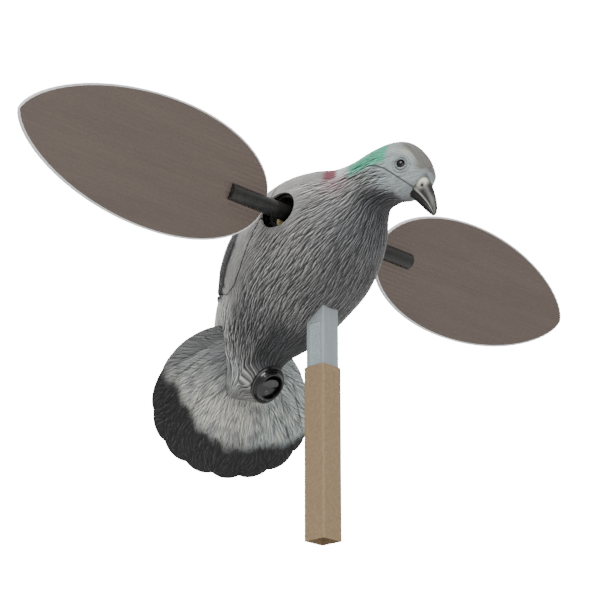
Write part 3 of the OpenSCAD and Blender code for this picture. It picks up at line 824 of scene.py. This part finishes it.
# Lengthwise crease over the wire's end: depth, half width
CREASE, CREASE_HALF = 0.55, 1.5
RIM_WHITE = 1.3
LEAN = math.radians(27)


def half_chord(t):
    top = BLADE_A / (BLADE_A + BLADE_B)
    peak = top**BLADE_A * (1 - top) ** BLADE_B
    return BLADE_CHORD / 2 * t**BLADE_A * (1 - t) ** BLADE_B / peak


def make_blade(name, sign, front, white, body, node):
    """Fluted sheet wing: printed face, white back and white cut edge, flutes along the span."""
    rows, cols = 150, 182
    t = (1 - np.cos(np.linspace(0.012, np.pi - 0.012, rows))) / 2
    x = (BLADE_ROOT + t * (BLADE_TIP - BLADE_ROOT))[:, None] + np.zeros((1, cols))
    half_c = half_chord(t)[:, None]
    v = np.sin(np.linspace(-np.pi / 2, np.pi / 2, cols - 2))[None]
    c = np.concatenate([-half_c, v * np.maximum(half_c - RIM_WHITE, 0.6 * half_c), half_c], 1)
    flute = FLUTE_DEPTH * (1 - np.cos(2 * np.pi * c / FLUTE)) / 2
    crease = CREASE * np.exp(-((c / CREASE_HALF) ** 2)) * ramp(x, 90, 104) * ramp(204 - x, 0, 8)
    half = BLADE_T / 2
    front_off = -half + flute - crease
    back_off = half - flute

    def place(off):
        y = off * math.cos(LEAN) - c * math.sin(LEAN)
        z = off * math.sin(LEAN) + c * math.cos(LEAN)
        return np.stack([sign * x, y, AXIS_Z + z], -1)

    ring = np.concatenate([place(front_off), place(back_off)[:, ::-1]], 1)
    total = 2 * cols
    faces = grid_faces(rows, total, True)
    last = (rows - 1) * total
    caps = [list(range(total))[::-1]], [list(range(last, last + total))]
    if sign < 0:
        faces = faces[:, ::-1]
        caps = [cap[::-1] for cap in caps[0]], [cap[::-1] for cap in caps[1]]
    blade = make_object(name, ring.reshape(-1, 3), [faces, *caps], front, smooth=False)
    blade.data.materials.append(white)
    column = np.tile(np.arange(total), rows - 1)
    printed = (column > 0) & (column < cols - 2)
    slots = np.concatenate([np.where(printed, 0, 1), [1, 1]])
    blade.data.polygons.foreach_set("material_index", slots.astype(np.int32))
    blade.data.update()
    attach(blade, body)
    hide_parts(node)


# ---------------------------------------------------------------- marks on the rocker
ROCKER_TURN, ROCKER_SLOPE, ROCKER_TOP, HINGE_DROP = 12.0, 10.7, 4.6, -1.0
MARK_AT, MARK_LOW, MARK_HIGH = 4.2, -0.08, 0.14
SWITCH_TURN = 126.87


def on_rocker(x, y, lift):
    """Place on the rocker's V-shaped top, in mm, from its own x and y."""
    z = ROCKER_TOP + abs(y) * math.tan(math.radians(ROCKER_SLOPE)) + lift
    turn = math.radians(ROCKER_TURN)
    y, z = y * math.cos(turn) - z * math.sin(turn), y * math.sin(turn) + z * math.cos(turn)
    z += HINGE_DROP
    turn = math.radians(SWITCH_TURN)
    y, z = y * math.cos(turn) - z * math.sin(turn), y * math.sin(turn) + z * math.cos(turn)
    return [x, SWITCH_AT[1] + y, SWITCH_AT[2] + z]


def make_mark(name, outer, inner, material):
    """Raised closed band between two outlines of equal length on the rocker's top."""
    n = len(outer)
    rings = [(outer, MARK_LOW), (outer, MARK_HIGH), (inner, MARK_HIGH), (inner, MARK_LOW)]
    points = np.array([on_rocker(x, y, lift) for line, lift in rings for x, y in line])
    faces = []
    for r in range(4):
        a, b = r * n, (r + 1) % 4 * n
        faces += [[a + k, a + (k + 1) % n, b + (k + 1) % n, b + k] for k in range(n)]
    mark = make_object(name, points, [np.array(faces)], material)
    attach(mark, "rocker")


def make_marks(material):
    """On and off marks of the rocker: a ring and a bar."""
    turn = np.linspace(0, 2 * np.pi, 24, endpoint=False)
    disc = np.stack([np.cos(turn), np.sin(turn)], 1)
    make_mark("mark_off", disc * 1.35 + [0, -MARK_AT], disc + [0, -MARK_AT], material)
    make_mark("mark_on", disc * [0.22, 1.3] + [0, MARK_AT], disc * [0.02, 1.1] + [0, MARK_AT], material)


# ---------------------------------------------------------------- CAD nodes that stay
def finish_node(node, material, bevel=0.0):
    obj = NODES[node]
    if not obj.material_slots:
        obj.data.materials.append(material)
    for s in obj.material_slots:
        s.material = material
    if bevel:
        mod = obj.modifiers.new("soft_edge", "BEVEL")
        mod.width = bevel * MM
        mod.segments = 2
        mod.limit_method = "ANGLE"
        mod.angle_limit = math.radians(50)


def dress_frame():
    sleeve = speckled("sleeve_tan", srgb(140, 117, 88), srgb(158, 135, 104), 420, (0.7, 0.85), 0.35)
    post = speckled("post_grey", srgb(146, 155, 158), srgb(166, 174, 177), 60, (0.45, 0.6), 0.15,
                    stretch=(1, 1, 0.15))
    strip = speckled("strip_grey", srgb(158, 172, 176), srgb(182, 194, 197), 90, (0.5, 0.65), 0.2)
    black = speckled("satin_black", (0.008,) * 3, (0.02,) * 3, 240, (0.32, 0.5), 0.25)
    hub = speckled("hub_black", (0.012,) * 3, (0.026, 0.024, 0.023), 160, (0.22, 0.36), 0.15)
    gloss = speckled("gloss_black", (0.004,) * 3, (0.010,) * 3, 200, (0.12, 0.25), 0.1, coat=0.5)
    steel = speckled("steel", (0.42,) * 3, (0.6,) * 3, 300, (0.25, 0.45), 0.1, metallic=1.0)
    ivory = speckled("ivory", srgb(206, 200, 176), srgb(226, 220, 198), 200, (0.4, 0.6))
    brass = speckled("brass", (0.55, 0.38, 0.12), (0.7, 0.5, 0.2), 200, (0.25, 0.45), 0.1, metallic=1.0)
    tan = speckled("capacitor_tan", srgb(168, 150, 96), srgb(206, 190, 140), 500, (0.3, 0.5))
    finish_node("stake_sleeve", sleeve, 0.3)
    finish_node("post_tube", post, 0.2)
    finish_node("friction_strip", strip)
    finish_node("post_pin", steel)
    for node in ("motor_cradle", "motor_strap", "motor_tube", "battery_box", "switch_body"):
        finish_node(node, black, 0.25)
    for node in ("strap_screws", "motor_can", "battery_contacts", "motor_shaft", "hub_screws",
                 "wing_rod_right", "wing_rod_left"):
        finish_node(node, steel)
    for node in ("wing_hub_right", "wing_hub_left"):
        finish_node(node, hub, 0.35)
    finish_node("motor_end_caps", ivory)
    finish_node("motor_terminals", brass)
    finish_node("switch_terminals", brass)
    finish_node("noise_capacitor", tan, 0.3)
    finish_node("switch_boot", gloss, 0.2)
    finish_node("switch_rocker", gloss, 0.3)
    gloss_eye = speckled("eye_gloss", (0.002,) * 3, (0.005, 0.004, 0.003), 300, (0.1, 0.16), 0.02)
    finish_node("eyes", gloss_eye)
    wrap = speckled("cell_wrap", srgb(150, 96, 52), srgb(186, 124, 70), 150, (0.25, 0.4))
    finish_node("battery_cells", wrap)
    red = speckled("wire_red", srgb(150, 20, 18), srgb(176, 34, 28), 400, (0.35, 0.5))
    finish_node("lead_red", red)
    finish_node("lead_black", speckled("wire_black", (0.01,) * 3, (0.025,) * 3, 400, (0.35, 0.5)))
    orange = speckled("wire_orange", srgb(200, 96, 20), srgb(222, 120, 40), 400, (0.35, 0.5))
    finish_node("lead_switched", orange)


make_camera()
make_studio()
feathers = painted_plastic("painted_feathers", 0.5, 0.68)
bill = painted_plastic("bill", 0.28, 0.42, 0.12)
make_skin(feathers)
make_beak(bill)
make_tail(feathers)
print_sheet = speckled("printed_sheet", srgb(100, 88, 81), srgb(108, 95, 87), 90, (0.5, 0.62), 0.1,
                       stretch=(0.08, 1, 1))
white_sheet = speckled("white_sheet", srgb(226, 226, 228), srgb(240, 240, 240), 60, (0.4, 0.5), 0.1,
                       stretch=(0.08, 1, 1))
make_marks(speckled("mark_grey", srgb(120, 122, 124), srgb(150, 152, 154), 600, (0.4, 0.5)))
make_blade("blade_right", -1, print_sheet, white_sheet, "wing_right", "wing_blade_right")
make_blade("blade_left", 1, print_sheet, white_sheet, "wing_left", "wing_blade_left")
dress_frame()
